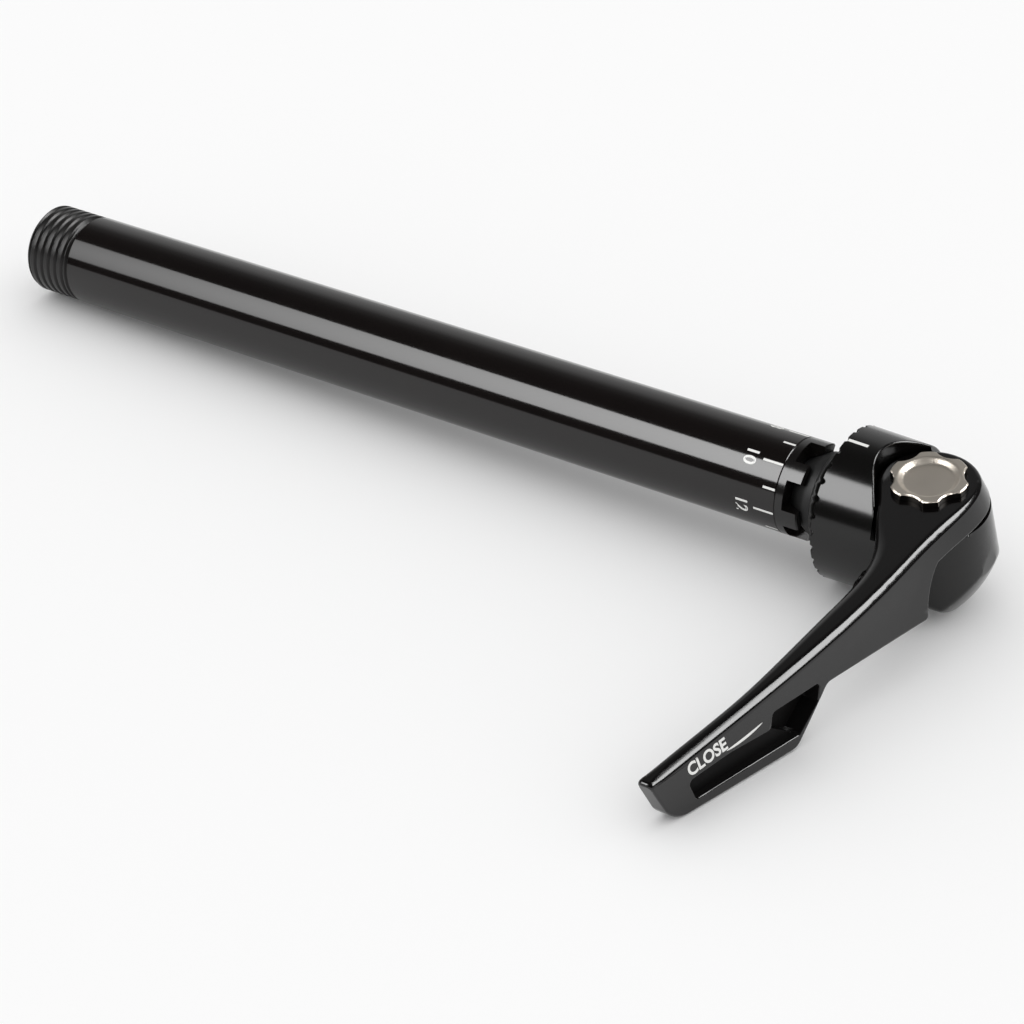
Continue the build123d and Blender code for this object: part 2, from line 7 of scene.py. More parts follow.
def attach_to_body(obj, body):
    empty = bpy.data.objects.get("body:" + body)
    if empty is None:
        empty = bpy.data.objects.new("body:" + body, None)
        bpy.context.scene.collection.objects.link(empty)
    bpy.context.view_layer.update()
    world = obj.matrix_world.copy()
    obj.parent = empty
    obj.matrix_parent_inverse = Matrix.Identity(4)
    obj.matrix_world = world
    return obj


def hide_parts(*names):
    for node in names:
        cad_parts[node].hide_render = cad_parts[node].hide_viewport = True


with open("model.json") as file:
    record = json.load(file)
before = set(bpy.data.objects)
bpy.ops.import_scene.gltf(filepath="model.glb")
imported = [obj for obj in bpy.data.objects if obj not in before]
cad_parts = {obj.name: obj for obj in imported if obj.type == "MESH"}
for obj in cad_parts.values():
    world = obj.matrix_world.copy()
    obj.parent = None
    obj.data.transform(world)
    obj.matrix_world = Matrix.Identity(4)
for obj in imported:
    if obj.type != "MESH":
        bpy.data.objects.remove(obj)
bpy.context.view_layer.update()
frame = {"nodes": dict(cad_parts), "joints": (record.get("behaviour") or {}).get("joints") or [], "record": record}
nodes = frame["nodes"]
joints = {joint["name"]: joint for joint in frame["joints"]}
bodies = frame["record"]["behaviour"]["bodies"]
bodyOf = {node: body for body, members in bodies.items() for node in members}
slotOf = {part["node"]: part["material_slot"] for part in frame["record"]["subparts"]}
print("frame loaded with", len(nodes), "nodes")

scene = bpy.context.scene
scene.view_settings.view_transform = "Standard"
mm = 0.001
mergeDistance = 0.000002
fullTurn = 2 * math.pi

# the axle's own frame: X towards the head, Z up the cam shaft,
# the closed lever to -Y, zero at the collet seam
along = Vector(joints["clocking"]["axis"])
up = Vector(joints["lever_swing"]["axis"])
axleFrame = Matrix((along, up.cross(along), up)).transposed().to_4x4()
axleFrame.translation = Vector(joints["clocking"]["pos_m"])
axleTurn = axleFrame.to_3x3()
toAxle = axleFrame.inverted()
toAxleTurn = toAxle.to_3x3()
pinOffset = toAxle @ Vector(joints["lever_swing"]["pos_m"])


# helpers for picking and finishing pieces

def pick(piece):
    bpy.ops.object.select_all(action="DESELECT")
    piece.select_set(True)
    bpy.context.view_layer.objects.active = piece


def named(piece, name):
    piece.name = name
    piece.data.name = name
    return piece


def placeInFrame(piece):
    pick(piece)
    piece.matrix_world = axleFrame @ piece.matrix_world
    bpy.ops.object.transform_apply(location=True, rotation=True, scale=True)


def joined(parts, name):
    pick(parts[0])
    for part in parts:
        part.select_set(True)
    bpy.ops.object.join()
    return named(bpy.context.object, name)


def faceOutward(piece):
    pick(piece)
    bpy.ops.object.mode_set(mode="EDIT")
    bpy.ops.mesh.select_all(action="SELECT")
    bpy.ops.mesh.normals_make_consistent(inside=False)
    bpy.ops.object.mode_set(mode="OBJECT")


def newPiece(name, corners, edges, faces):
    mesh = bpy.data.meshes.new(name)
    mesh.from_pydata(corners, edges, faces)
    piece = bpy.data.objects.new(name, mesh)
    scene.collection.objects.link(piece)
    return piece


def spinProfile(name, profile, segments):
    # a closed outline of places along the axle and radii, in millimetres, turned once round the axle
    corners = [(x * mm, 0.0, radius * mm) for x, radius in profile]
    edges = [(number, (number + 1) % len(corners)) for number in range(len(corners))]
    piece = newPiece(name, corners, edges, [])
    pick(piece)
    bpy.ops.object.mode_set(mode="EDIT")
    bpy.ops.mesh.select_all(action="SELECT")
    bpy.ops.mesh.spin(steps=segments, angle=fullTurn, center=(0, 0, 0), axis=(1, 0, 0))
    bpy.ops.mesh.select_all(action="SELECT")
    bpy.ops.mesh.remove_doubles(threshold=mergeDistance)
    bpy.ops.object.mode_set(mode="OBJECT")
    faceOutward(piece)
    return piece


def smooth(piece, angle):
    pick(piece)
    bpy.ops.object.shade_smooth_by_angle(angle=math.radians(angle))
    weighted = piece.modifiers.new("weighted", "WEIGHTED_NORMAL")
    weighted.keep_sharp = True
    bpy.ops.object.modifier_apply(modifier=weighted.name)


def cornerNormals(mesh):
    return [corner.vector.copy() for corner in mesh.corner_normals]


def aroundAxle(place):
    return (axleTurn @ Vector((0.0, -place.z, place.y))).normalized()


def evenNormals(piece, surface, slotWall=0.2):
    # turned faces keep no part of their normals round the axle,
    # so fine slots and notches leave no streaks on them
    mesh = piece.data
    normals = cornerNormals(mesh)
    for face in mesh.polygons:
        middle = toAxle @ face.center
        if abs(face.normal.dot(aroundAxle(middle))) > slotWall or not surface(middle / mm):
            continue
        for loop in face.loop_indices:
            around = aroundAxle(toAxle @ mesh.vertices[mesh.loops[loop].vertex_index].co)
            normals[loop] = (normals[loop] - around * normals[loop].dot(around)).normalized()
    mesh.normals_split_custom_set(normals)


def attach(piece, node, replaced=True):
    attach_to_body(piece, bodyOf[node])
    if replaced:
        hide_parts(node)


# shader building blocks

def newNode(tree, kind, place, **settings):
    made = tree.nodes.new(kind)
    made.location = place
    for key, value in settings.items():
        setattr(made, key, value)
    return made


def makeFinishGroup():
    group = bpy.data.node_groups.new("fineFinish", "ShaderNodeTree")
    sockets = {
        "Color": ("NodeSocketColor", (0.5, 0.5, 0.5, 1.0)),
        "Tone": ("NodeSocketFloat", 0.1),
        "Roughness": ("NodeSocketFloat", 0.3),
        "Spread": ("NodeSocketFloat", 0.05),
        "Cloud Scale": ("NodeSocketFloat", 90.0),
        "Grain Scale": ("NodeSocketFloat", 4000.0),
    }
    for name, (kind, value) in sockets.items():
        socket = group.interface.new_socket(name, in_out="INPUT", socket_type=kind)
        socket.default_value = value
    group.interface.new_socket("Color", in_out="OUTPUT", socket_type="NodeSocketColor")
    group.interface.new_socket("Roughness", in_out="OUTPUT", socket_type="NodeSocketFloat")
    group.interface.new_socket("Height", in_out="OUTPUT", socket_type="NodeSocketFloat")
    inlet = newNode(group, "NodeGroupInput", (-900, 0))
    outlet = newNode(group, "NodeGroupOutput", (600, 0))
    coords = newNode(group, "ShaderNodeTexCoord", (-900, -300))
    cloud = newNode(group, "ShaderNodeTexNoise", (-600, -150))
    cloud.inputs["Detail"].default_value = 4.0
    grain = newNode(group, "ShaderNodeTexNoise", (-600, -450))
    grain.inputs["Detail"].default_value = 2.0
    centred = newNode(group, "ShaderNodeMath", (-380, -150), operation="SUBTRACT")
    centred.inputs[1].default_value = 0.5
    swing = newNode(group, "ShaderNodeMath", (-180, -200), operation="MULTIPLY_ADD")
    shade = newNode(group, "ShaderNodeMath", (-180, 60), operation="MULTIPLY_ADD")
    shade.inputs[2].default_value = 1.0
    tinted = newNode(group, "ShaderNodeVectorMath", (120, 160), operation="SCALE")
    link = group.links.new
    link(coords.outputs["Object"], cloud.inputs["Vector"])
    link(coords.outputs["Object"], grain.inputs["Vector"])
    link(inlet.outputs["Cloud Scale"], cloud.inputs["Scale"])
    link(inlet.outputs["Grain Scale"], grain.inputs["Scale"])
    link(cloud.outputs["Fac"], centred.inputs[0])
    link(centred.outputs[0], swing.inputs[0])
    link(inlet.outputs["Spread"], swing.inputs[1])
    link(inlet.outputs["Roughness"], swing.inputs[2])
    link(centred.outputs[0], shade.inputs[0])
    link(inlet.outputs["Tone"], shade.inputs[1])
    link(inlet.outputs["Color"], tinted.inputs[0])
    link(shade.outputs[0], tinted.inputs["Scale"])
    link(tinted.outputs[0], outlet.inputs["Color"])
    link(swing.outputs[0], outlet.inputs["Roughness"])
    link(grain.outputs["Fac"], outlet.inputs["Height"])
    return group


def makeTurningGroup():
    # fine tool rings along X or round Z of a mapped place
    group = bpy.data.node_groups.new("turningMarks", "ShaderNodeTree")
    for name, kind, value in (("Vector", "NodeSocketVector", None), ("Scale", "NodeSocketFloat", 900.0)):
        socket = group.interface.new_socket(name, in_out="INPUT", socket_type=kind)
        if value is not None:
            socket.default_value = value
    group.interface.new_socket("Rings", in_out="OUTPUT", socket_type="NodeSocketFloat")
    group.interface.new_socket("Bands", in_out="OUTPUT", socket_type="NodeSocketFloat")
    inlet = newNode(group, "NodeGroupInput", (-700, 0))
    outlet = newNode(group, "NodeGroupOutput", (500, 0))
    rings = newNode(group, "ShaderNodeTexWave", (-300, 120), wave_type="RINGS", rings_direction="Z")
    rings.inputs["Distortion"].default_value = 0.4
    rings.inputs["Detail"].default_value = 2.0
    bands = newNode(group, "ShaderNodeTexWave", (-300, -220), wave_type="BANDS", bands_direction="X")
    bands.inputs["Distortion"].default_value = 0.4
    bands.inputs["Detail"].default_value = 2.0
    for texture, name in ((rings, "Rings"), (bands, "Bands")):
        group.links.new(inlet.outputs["Vector"], texture.inputs["Vector"])
        group.links.new(inlet.outputs["Scale"], texture.inputs["Scale"])
        group.links.new(texture.outputs["Fac"], outlet.inputs[name])
    return group


fineFinish = makeFinishGroup()
turningMarks = makeTurningGroup()

finishes = {
    "tubeAnodised": {"color": (0.0050, 0.0034, 0.0031), "tone": 0.5, "roughness": 0.10, "spread": 0.05,
                     "marks": "Bands", "markScale": 700.0, "bump": 0.010, "grain": 2500.0},
    "threadAnodised": {"color": (0.0060, 0.0050, 0.0046), "tone": 0.5, "roughness": 0.34, "spread": 0.06,
                       "ior": 1.45, "marks": "Bands", "markScale": 900.0, "bump": 0.010, "grain": 2500.0},
    "colletAnodised": {"color": (0.0060, 0.0052, 0.0048), "tone": 0.4, "roughness": 0.16, "spread": 0.06,
                       "marks": "Bands", "markScale": 800.0, "bump": 0.015, "grain": 2500.0},
    "housingGloss": {"color": (0.0032, 0.0029, 0.0027), "tone": 0.4, "roughness": 0.15, "spread": 0.05,
                     "ior": 1.46, "bump": 0.010, "grain": 1800.0},
    "leverGloss": {"color": (0.0022, 0.0018, 0.0018), "tone": 0.4, "roughness": 0.14, "spread": 0.05,
                   "bump": 0.010, "grain": 1800.0},
    # matt and barely reflective so the lever's pocket renders black: painted shade in the recess on a matt surface
    "pocketMattShade": {"color": (0.0028, 0.0024, 0.0024), "tone": 0.3, "roughness": 0.5, "spread": 0.08,
                   "ior": 1.2, "bump": 0.03, "grain": 1800.0},
    "coneDark": {"color": (0.006, 0.006, 0.006), "tone": 0.3, "roughness": 0.55, "spread": 0.08, "ior": 1.4,
                 "marks": "Bands", "markScale": 900.0, "bump": 0.03, "grain": 2200.0},
    "starStainless": {"color": (0.54, 0.495, 0.435), "tone": 0.25, "roughness": 0.40, "spread": 0.10,
                      "metal": 1.0, "marks": "Rings", "markScale": 1500.0, "atPin": True,
                      "bump": 0.05, "grain": 3000.0},
    # painted shade: the star's side wall is coloured dark so it reads as the shadow under the rim
    "starWallShade": {"color": (0.055, 0.050, 0.045), "tone": 0.2, "roughness": 0.30, "spread": 0.06,
                  "metal": 1.0, "bump": 0.02, "grain": 3000.0},
    "brightSteel": {"color": (0.56, 0.56, 0.55), "tone": 0.2, "roughness": 0.26, "spread": 0.12, "metal": 1.0,
                    "marks": "Bands", "markScale": 1100.0, "bump": 0.05, "grain": 2600.0},
    "bushBronze": {"color": (0.50, 0.33, 0.15), "tone": 0.3, "roughness": 0.34, "spread": 0.12, "metal": 1.0,
                   "bump": 0.06, "grain": 2400.0},
    "guideNatural": {"color": (0.70, 0.68, 0.62), "tone": 0.08, "roughness": 0.5, "spread": 0.1,
                     "bump": 0.05, "grain": 1500.0},
    "sealRubber": {"color": (0.010, 0.0095, 0.009), "tone": 0.3, "roughness": 0.55, "spread": 0.12,
                   "bump": 0.08, "grain": 1800.0},
    "printWhite": {"color": (0.80, 0.80, 0.78), "tone": 0.05, "roughness": 0.45, "spread": 0.08,
                   "bump": 0.02, "grain": 3000.0},
}


def makeFinish(name, look):
    material = bpy.data.materials.new(name)
    material.use_nodes = True
    tree = material.node_tree
    tree.nodes.clear()
    output = newNode(tree, "ShaderNodeOutputMaterial", (700, 0))
    shader = newNode(tree, "ShaderNodeBsdfPrincipled", (400, 0))
    shader.inputs["Metallic"].default_value = look.get("metal", 0.0)
    shader.inputs["IOR"].default_value = look.get("ior", 1.5)
    finish = newNode(tree, "ShaderNodeGroup", (-100, 100), node_tree=fineFinish)
    finish.inputs["Color"].default_value = (*look["color"], 1.0)
    finish.inputs["Tone"].default_value = look["tone"]
    finish.inputs["Roughness"].default_value = look["roughness"]
    finish.inputs["Spread"].default_value = look["spread"]
    finish.inputs["Grain Scale"].default_value = look["grain"]
    bump = newNode(tree, "ShaderNodeBump", (150, -250))
    bump.inputs["Strength"].default_value = look["bump"]
    bump.inputs["Distance"].default_value = 0.1 * mm
    link = tree.links.new
    link(finish.outputs["Color"], shader.inputs["Base Color"])
    link(finish.outputs["Roughness"], shader.inputs["Roughness"])
    link(bump.outputs["Normal"], shader.inputs["Normal"])
    link(shader.outputs["BSDF"], output.inputs["Surface"])
    if "marks" not in look:
        link(finish.outputs["Height"], bump.inputs["Height"])
        return material
    coords = newNode(tree, "ShaderNodeTexCoord", (-1000, -300))
    mapping = newNode(tree, "ShaderNodeMapping", (-800, -300), vector_type="TEXTURE")
    centre = axleFrame @ pinOffset if look.get("atPin") else axleFrame.translation
    mapping.inputs["Location"].default_value = centre
    mapping.inputs["Rotation"].default_value = axleFrame.to_euler()
    marks = newNode(tree, "ShaderNodeGroup", (-550, -300), node_tree=turningMarks)
    marks.inputs["Scale"].default_value = look["markScale"]
    mixed = newNode(tree, "ShaderNodeMath", (-100, -300), operation="MULTIPLY_ADD")
    mixed.inputs[1].default_value = 0.5
    link(coords.outputs["Object"], mapping.inputs["Vector"])
    link(mapping.outputs["Vector"], marks.inputs["Vector"])
    link(marks.outputs[look["marks"]], mixed.inputs[0])
    link(finish.outputs["Height"], mixed.inputs[2])
    link(mixed.outputs[0], bump.inputs["Height"])
    return material


materials = {name: makeFinish(name, look) for name, look in finishes.items()}
finishOfSlot = {
    "black_tube": "tubeAnodised",
    "black_collet": "colletAnodised",
    "black_housing": "housingGloss",
    "black_lever": "leverGloss",
    "dark_cone": "coneDark",
    "stainless": "starStainless",
    "plain_steel": "brightSteel",
    "bronze": "bushBronze",
    "guide_plastic": "guideNatural",
    "rubber": "sealRubber",
}


def paint(piece, finish):
    piece.data.materials.clear()
    piece.data.materials.append(materials[finish])


def paintWhere(piece, finish, chosen):
    # a second finish on the faces whose middle and normal, in the axle's frame, are chosen
    piece.data.materials.append(materials[finish])
    for face in piece.data.polygons:
        if chosen((toAxle @ face.center) / mm, toAxleTurn @ face.normal):
            face.material_index = len(piece.data.materials) - 1


for nodeName, node in nodes.items():
    paint(node, finishOfSlot[slotOf[nodeName]])
print("materials made:", len(materials))


# smooth copies of the solids that show

def everywhere(place):
    return True


barrel = {"radius": 11.93, "taper": 0.0269, "near": 0.2, "x": (8.6, 28.0), "straight": 0.995}


def onBarrel(place):
    radius = barrel["radius"] - barrel["taper"] * place.x
    away = abs(math.hypot(place.y, place.z) - radius)
    return away < barrel["near"] and barrel["x"][0] < place.x < barrel["x"][1]


def barrelNormal(place):
    radial = Vector((0.0, place.y, place.z)).normalized()
    return (axleTurn @ (radial + Vector((barrel["taper"], 0.0, 0.0)))).normalized()


def turnBarrelNormals(piece):
    # faces of the barrel take the normals of the turned cone,
    # so the flutes and the deck leave no streaks on it
    mesh = piece.data
    normals = cornerNormals(mesh)
    for face in mesh.polygons:
        middle = (toAxle @ face.center) / mm
        if onBarrel(middle) and face.normal.dot(barrelNormal(middle)) > barrel["straight"]:
            for loop in face.loop_indices:
                normals[loop] = barrelNormal(toAxle @ mesh.vertices[mesh.loops[loop].vertex_index].co)
    mesh.normals_split_custom_set(normals)


leverEdge = {
    "top": 8.5, "cutRound": 0.8, "near": 0.01, "probe": 6.0, "outside": 30.0, "off": 0.06,
    "tip": (-70.2, -68.4), "rootY": -10.0, "tipY": -70.0,
    "outer": {"side": 1.0, "rounds": (1.5, 1.4), "root": (3.0, -9.0)},
    "inner": {"side": -1.0, "rounds": (2.1, 0.95), "root": (-9.0, -16.0)},
}


def easing(value, zero, one):
    share = min(1.0, max(0.0, (value - zero) / (one - zero)))
    return share * share * (3.0 - 2.0 * share)


def leverWall(piece, y, z, side=1.0):
    # where a ray along the axle meets the lever's outer wall, or its inner one from the other side
    start = Vector((pinOffset.x / mm + leverEdge["outside"] * side, y, z)) * mm
    return piece.ray_cast(axleFrame @ start, -along * side)[:3]


def softenedPoint(piece, place, look):
    # a place on the cut round between the top and one wall moves to the softer round there
    found, hit, wall = leverWall(piece, place.y, leverEdge["probe"], look["side"])
    if not found:
        return None
    hit = (toAxle @ hit) / mm
    wall = (toAxleTurn @ wall).normalized()
    outward = Vector((wall.x, wall.y, 0.0)).normalized()
    bend = math.acos(wall.z)
    cut = leverEdge["cutRound"]
    rise = cut - (leverEdge["top"] - place.z)
    inside = cut - (hit - place).dot(wall)
    reach = (inside - math.cos(bend) * rise) / math.sin(bend)
    if abs(math.hypot(rise, reach) - cut) > leverEdge["off"]:
        return None
    turned = min(bend, max(0.0, math.atan2(reach, rise)))
    normal = Vector((0.0, 0.0, math.cos(turned))) + outward * math.sin(turned)
    middle = (Vector((0.0, 0.0, 1.0)) + wall) / (1.0 + wall.z)
    share = (place.y - leverEdge["rootY"]) / (leverEdge["tipY"] - leverEdge["rootY"])
    share = min(1.0, max(0.0, share))
    wanted = look["rounds"][0] + (look["rounds"][1] - look["rounds"][0]) * share
    grown = (wanted - cut) * easing(place.y, *look["root"]) * easing(place.y, *leverEdge["tip"])
    return place + (normal - middle) * grown, normal


def softenTopEdges(piece):
    # both long top edges of the lever open to softer rounds; returns their smooth normals
    moved = {}
    for vertex in piece.data.vertices:
        place = (toAxle @ vertex.co) / mm
        if leverEdge["top"] - place.z > leverEdge["cutRound"] + leverEdge["near"]:
            continue
        for look in (leverEdge["outer"], leverEdge["inner"]):
            if leverEdge["tip"][0] < place.y < look["root"][0]:
                softened = softenedPoint(piece, place, look)
                if softened:
                    moved[vertex.index] = softened
    for number, (place, normal) in moved.items():
        piece.data.vertices[number].co = axleFrame @ (place * mm)
    return {number: axleTurn @ normal for number, (place, normal) in moved.items()}


def keepNormals(piece, kept):
    mesh = piece.data
    normals = cornerNormals(mesh)
    for loop in mesh.loops:
        if loop.vertex_index in kept:
            normals[loop.index] = kept[loop.vertex_index]
    mesh.normals_split_custom_set(normals)


broadFace = {"area": 0.43, "straight": 0.99, "same": 0.001}


def flattenBroadFaces(piece):
    # broad flat faces keep their own normal,
    # so the small rounds beside them shade over their own width only
    mesh = piece.data
    before = cornerNormals(mesh)
    normals = list(before)
    flat = {}
    narrow = []
    for face in mesh.polygons:
        if face.area < broadFace["area"] * mm * mm:
            narrow.append(face)
            continue
        for loop in face.loop_indices:
            if before[loop].dot(face.normal) < broadFace["straight"]:
                normals[loop] = face.normal.copy()
                flat.setdefault(mesh.loops[loop].vertex_index, []).append((before[loop], normals[loop]))
    for face in narrow:
        for loop in face.loop_indices:
            beside = flat.get(mesh.loops[loop].vertex_index, ())
            shared = [own for old, own in beside if (before[loop] - old).length < broadFace["same"]]
            if shared:
                normals[loop] = max(shared, key=face.normal.dot)
    mesh.normals_split_custom_set(normals)


# faces inside the lever's pocket, which take a matt, barely reflective finish: painted shade in the recess
pocketZone = {
    "y": (-67.0, -38.0), "top": 5.2, "roof": 2.4, "depth": (0.25, 3.2), "inward": -0.5, "down": -0.3,
}


def inLeverPocket(place, normal):
    if not pocketZone["y"][0] < place.y < pocketZone["y"][1] or place.z > pocketZone["top"]:
        return False
    belly = normal.z < pocketZone["down"] and place.z < pocketZone["roof"]
    if normal.x < pocketZone["inward"] or belly:
        return False
    found, hit, wall = leverWall(pieces["lever"], place.y, leverEdge["probe"])
    depth = ((toAxle @ hit) / mm - place).dot(toAxleTurn @ wall)
    return pocketZone["depth"][0] < depth < pocketZone["depth"][1]


# the star's upright side wall above this height is painted dark, painted shade under its rim
starWallShade = {"from": 6.5, "upright": 0.4}


def onStarWallShade(place, normal):
    return place.z > starWallShade["from"] and abs(normal.z) < starWallShade["upright"]


smoothed = {
    "lever": {"piece": "leverBlade", "angle": 24, "eased": softenTopEdges, "flat": True},
    "cam_housing": {"piece": "camHousing", "angle": 22, "turned": onBarrel},
    "cam_shaft": {"piece": "starPin", "angle": 28},
    "expander_cone": {"piece": "expanderCone", "angle": 28, "turned": everywhere},
    "neck_wiper": {"piece": "neckWiper", "angle": 60, "turned": everywhere},
    "nut_clip": {"piece": "nutClip", "angle": 28, "turned": everywhere},
    "tension_nut": {"piece": "tensionNut", "angle": 28, "turned": everywhere},
    "drawbar": {"piece": "pullRod", "angle": 28},
    "eye_bush": {"piece": "eyeLiner", "angle": 28},
    "upper_bush": {"piece": "upperBush", "angle": 28},
    "lower_bush": {"piece": "lowerBush", "angle": 28},
    "foot_ring": {"piece": "footRing", "angle": 28},
    "foot_screw": {"piece": "footScrew", "angle": 28},
}
flatAngle = math.radians(0.2)
pieces = {}
for nodeName, look in smoothed.items():
    copy = bpy.data.objects.new(look["piece"], nodes[nodeName].data.copy())
    scene.collection.objects.link(copy)
    pick(copy)
    bpy.ops.object.mode_set(mode="EDIT")
    bpy.ops.mesh.select_all(action="SELECT")
    bpy.ops.mesh.remove_doubles(threshold=mergeDistance)
    bpy.ops.mesh.dissolve_limited(angle_limit=flatAngle)
    bpy.ops.object.mode_set(mode="OBJECT")
    eased = look["eased"](copy) if "eased" in look else {}
    smooth(copy, look["angle"])
    if "flat" in look:
        flattenBroadFaces(copy)
    if eased:
        keepNormals(copy, eased)
    if "turned" in look:
        evenNormals(copy, look["turned"])
    attach(named(copy, look["piece"]), nodeName)
    pieces[nodeName] = copy
turnBarrelNormals(pieces["cam_housing"])
# painted shade: the star's side wall takes a dark colour for the shadow under its rim
paintWhere(pieces["cam_shaft"], "starWallShade", onStarWallShade)
# painted shade: the pocket's faces get a matt finish that reflects little, so the recess renders dark
paintWhere(pieces["lever"], "pocketMattShade", inLeverPocket)
print("smooth copies:", len(pieces))

# threaded tube

tube = {
    "length": 149.0, "radius": 7.5, "segments": 128, "smoothAngle": 32, "headChamfer": 0.12,
    "threadLength": 9.0, "pitch": 1.5, "threadDepth": 0.4, "threadCrest": 7.45,
    "rowsPerPitch": 24, "groove": 0.3, "near": 0.01,
    "endChamfer": 0.8, "reliefWidth": 0.8, "reliefDepth": 0.5, "reliefSteps": 8,
    "boreRadius": 5.3, "pocketRadius": 5.0, "pocketDepth": 8.0, "flange": 3.5, "flangeRadius": 3.1,
    "clipInset": 0.5, "clipWidth": 0.75, "clipRadius": 5.45,
}


def threadRadius(x, turn):
    fromTail = x + tube["length"]
    phase = (x / tube["pitch"] - turn) % 1.0
    across = min(1.0, abs(phase - 0.5) / tube["groove"])
    radius = tube["threadCrest"] - tube["threadDepth"] * (0.5 + 0.5 * math.cos(math.pi * across))
    return min(radius, tube["threadCrest"] - tube["endChamfer"] + fromTail)


def tubeProfile():
    tail = -tube["length"]
    threadEnd = tail + tube["threadLength"]
    pocketEnd = tail + tube["pocketDepth"]
    flangeEnd = pocketEnd + tube["flange"]
    clipStart = tail + tube["clipInset"]
    clipEnd = clipStart + tube["clipWidth"]
    rows = round(tube["threadLength"] / tube["pitch"] * tube["rowsPerPitch"])
    points = [(tail + tube["threadLength"] * row / rows, tube["threadCrest"]) for row in range(rows + 1)]
    for step in range(1, tube["reliefSteps"] + 1):
        dip = tube["reliefDepth"] * math.sin(math.pi * step / tube["reliefSteps"])
        points.append((threadEnd + tube["reliefWidth"] * step / tube["reliefSteps"], tube["radius"] - dip))
    points += [(-tube["headChamfer"], tube["radius"]), (0.0, tube["radius"] - tube["headChamfer"])]
    points += [(0.0, tube["boreRadius"]), (flangeEnd, tube["boreRadius"]), (flangeEnd, tube["flangeRadius"])]
    points += [(pocketEnd, tube["flangeRadius"]), (pocketEnd, tube["pocketRadius"])]
    points += [(clipEnd, tube["pocketRadius"]), (clipEnd, tube["clipRadius"])]
    points += [(clipStart, tube["clipRadius"]), (clipStart, tube["pocketRadius"])]
    points += [(tail, tube["pocketRadius"])]
    return points


def makeTube():
    piece = spinProfile("axleTube", tubeProfile(), tube["segments"])
    threadEnd = tube["threadLength"] - tube["length"]
    for vertex in piece.data.vertices:
        x, y, z = vertex.co / mm
        radius = math.hypot(y, z)
        if x > threadEnd - tube["near"] or radius < tube["threadCrest"] - tube["near"]:
            continue
        share = threadRadius(x, math.atan2(y, z) / fullTurn) / radius
        vertex.co.y *= share
        vertex.co.z *= share
    placeInFrame(piece)
    smooth(piece, tube["smoothAngle"])
    paint(piece, "tubeAnodised")
    reliefEnd = threadEnd + tube["reliefWidth"]
    paintWhere(piece, "threadAnodised", lambda place, normal: place.x < reliefEnd)
    attach(piece, "axle_tube")
    return piece


axleTube = makeTube()
print("threaded tube:", len(axleTube.data.polygons), "faces")

# slotted collet, its fingers free towards the head

collet = {
    "profile": ((-6.0, 2.6), (-6.0, 5.28), (0.0, 5.28), (0.0, 7.38), (0.1, 7.5), (3.6, 7.5), (3.8, 7.3),
                (3.8, 6.37), (1.4, 5.05), (1.4, 4.4), (-5.2, 4.4), (-5.2, 2.6)),
    "segments": 120, "smoothAngle": 28, "slots": 6, "firstSlot": 27.0, "slotAngle": 36.0,
    "slotX": (1.3, 5.0), "slotReach": (2.0, 9.0),
}


def makeColletSlots():
    # wedges that widen away from the axle, one for each slot
    half = math.radians(collet["slotAngle"] / 2)
    wedges = []
    for number in range(collet["slots"]):
        bpy.ops.object.select_all(action="DESELECT")
        bpy.ops.mesh.primitive_cube_add(size=1.0)
        wedge = bpy.context.object
        middle = math.radians(collet["firstSlot"] + number * 360 / collet["slots"])
        for vertex in wedge.data.vertices:
            reach = collet["slotReach"][vertex.co.z > 0]
            angle = middle + (half if vertex.co.y > 0 else -half)
            x = collet["slotX"][vertex.co.x > 0]
            radius = reach / math.cos(half)
            vertex.co = Vector((x, -radius * math.cos(angle), radius * math.sin(angle))) * mm
        wedges.append(wedge)
    slots = joined(wedges, "colletSlots")
    faceOutward(slots)
    return slots


def makeCollet():
    piece = spinProfile("expanderCollet", collet["profile"], collet["segments"])
    slots = makeColletSlots()
    pick(piece)
    cut = piece.modifiers.new("slots", "BOOLEAN")
    cut.operation = "DIFFERENCE"
    cut.solver = "EXACT"
    cut.object = slots
    bpy.ops.object.modifier_apply(modifier=cut.name)
    bpy.data.objects.remove(slots)
    placeInFrame(piece)
    smooth(piece, collet["smoothAngle"])
    evenNormals(piece, everywhere)
    paint(piece, "colletAnodised")
    attach(piece, "expander_collet")
    return piece


expanderCollet = makeCollet()
print("slotted collet:", len(expanderCollet.data.polygons), "faces")

# white print wrapped round the tube, housing and lever

scale = {
    "radius": 7.5, "height": 0.012, "sunk": 0.01, "steps": 12, "cuts": 3,
    "longTick": (-3.5, -0.15), "shortTick": (-2.2, -0.15), "tickWidth": 0.36,
    "numerals": {0: "12", 60: "10", 120: "8", 180: "6", 240: "4", 300: "2"},
    "numeralBase": -6.5, "numeralHeight": 2.0, "numeralBold": 0.05,
}
lettering = {"capShare": 0.7, "depth": 1.0, "curveSteps": 6, "merge": 0.001}


def onTube(angle, side, x, radius):
    turn = math.radians(angle) - side / radius
    return Vector((x, -radius * math.cos(turn), radius * math.sin(turn))) * mm


def makeStrip(start, end, width, cuts):
    # flat bar in the XY plane, X along its length, millimetres
    bpy.ops.object.select_all(action="DESELECT")
    bpy.ops.mesh.primitive_cube_add(size=1.0, location=((start + end) / 2, 0.0, 0.0))
    strip = bpy.context.object
    strip.scale = (end - start, width, 1.0)
    bpy.ops.object.transform_apply(location=True, rotation=True, scale=True)
    bpy.ops.object.mode_set(mode="EDIT")
    bpy.ops.mesh.subdivide(number_cuts=cuts)
    bpy.ops.object.mode_set(mode="OBJECT")
    return strip


